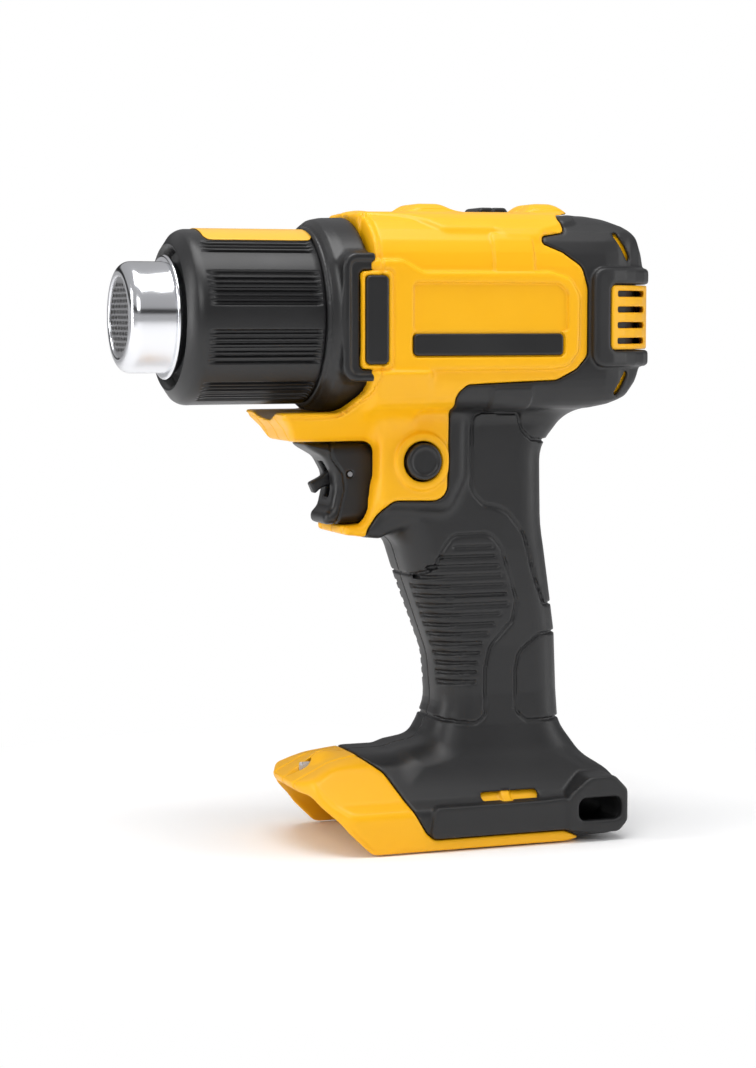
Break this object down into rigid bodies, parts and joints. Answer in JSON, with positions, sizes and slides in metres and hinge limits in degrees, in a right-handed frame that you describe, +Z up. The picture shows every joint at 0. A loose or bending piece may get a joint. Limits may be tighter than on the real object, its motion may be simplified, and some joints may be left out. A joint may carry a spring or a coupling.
{
  "type": "cordless heat gun",
  "caption": "Pistol-grip cordless heat gun with a chromed nozzle, ribbed barrel guard, rear air inlet, slide trigger with lock lever and a battery dock in its foot.",
  "frame": {"origin": "centre of the bounding box in X and Y, at the bottom of the foot", "axes": "+Z up from the foot to the head, nozzle towards -X, left side of the tool towards -Y"},
  "size_m": [0.21, 0.0772, 0.2446],
  "materials": {
    "yellow_nylon": "satin",
    "yellow_label": "satin",
    "black_nylon": "satin",
    "black_rubber": "matte",
    "chromed_steel": "mirror",
    "steel": "satin",
    "copper": "satin",
    "aluminium": "satin",
    "mica": "matte",
    "ceramic": "matte",
    "circuit_board": "satin",
    "lamp_lens": "clear",
    "red_wire": "satin",
    "black_wire": "satin"
  },
  "bodies": {
    "base": {"badge_strip_left": "black_nylon", "badge_strip_right": "black_nylon", "barrel_guard": "black_nylon", "battery_lead_negative": "black_wire", "battery_lead_positive": "red_wire", "control_board": "circuit_board", "fan_shroud": "black_nylon", "front_collar": "black_nylon", "guard_label": "yellow_label", "heat_sink": "aluminium", "heat_tube": "steel", "heater_coil": "steel", "heater_core": "ceramic", "heater_lead_negative": "black_wire", "heater_lead_positive": "red_wire", "heater_plate": "mica", "housing_left": "yellow_nylon", "housing_right": "yellow_nylon", "housing_screw_1": "steel", "housing_screw_2": "steel", "housing_screw_3": "steel", "housing_screw_4": "steel", "housing_screw_5": "steel", "housing_screw_6": "steel", "housing_screw_7": "steel", "led_board": "circuit_board", "led_lens": "lamp_lens", "mica_sleeve": "mica", "motor_can": "steel", "motor_cap": "black_nylon", "motor_lead_negative": "black_wire", "motor_lead_positive": "red_wire", "motor_magnet_1": "steel", "motor_magnet_2": "steel", "nozzle": "chromed_steel", "nozzle_grille": "steel", "overmold_left": "black_rubber", "overmold_right": "black_rubber", "rear_vent_cage": "yellow_nylon", "side_pad_left": "black_nylon", "side_pad_right": "black_nylon", "switch_block": "black_nylon", "switch_board": "circuit_board", "terminal_blade_1": "copper", "terminal_blade_2": "copper", "terminal_blade_3": "copper", "terminal_blade_4": "copper", "terminal_block": "black_nylon", "thermal_cutout": "steel", "trigger_spring": "steel", "trigger_switch": "black_nylon", "tube_mount": "ceramic"},
    "trigger_body": {"trigger": "black_nylon", "trigger_pin": "steel"},
    "lock_lever_body": {"lock_lever": "black_nylon"},
    "button_body": {"lock_off_button": "black_nylon"},
    "slider_body": {"temperature_switch": "black_nylon"},
    "rotor": {"motor_shaft": "steel", "motor_armature": "copper", "fan_impeller": "black_nylon"}
  },
  "joints": [
    {"name": "trigger_pull", "type": "slide", "parent": "base", "child": "trigger_body", "axis": [1, 0, 0], "range_m": [0, 0.006], "stiffness_N_per_m": 600, "deforming": ["trigger_spring"]},
    {"name": "lock_lever_turn", "type": "hinge", "parent": "trigger_body", "child": "lock_lever_body", "pos_m": [-0.018, 0, 0.142], "axis": [0, 1, 0], "range_deg": [0, 22]},
    {"name": "lock_off_press", "type": "slide", "parent": "base", "child": "button_body", "axis": [0, 1, 0], "range_m": [-0.0025, 0.0025]},
    {"name": "temperature_slide", "type": "slide", "parent": "base", "child": "slider_body", "axis": [1, 0, 0], "range_m": [-0.002, 0.002]},
    {"name": "fan_spin", "type": "hinge", "parent": "base", "child": "rotor", "pos_m": [0, 0, 0.201], "axis": [1, 0, 0], "continuous": true}
  ]
}
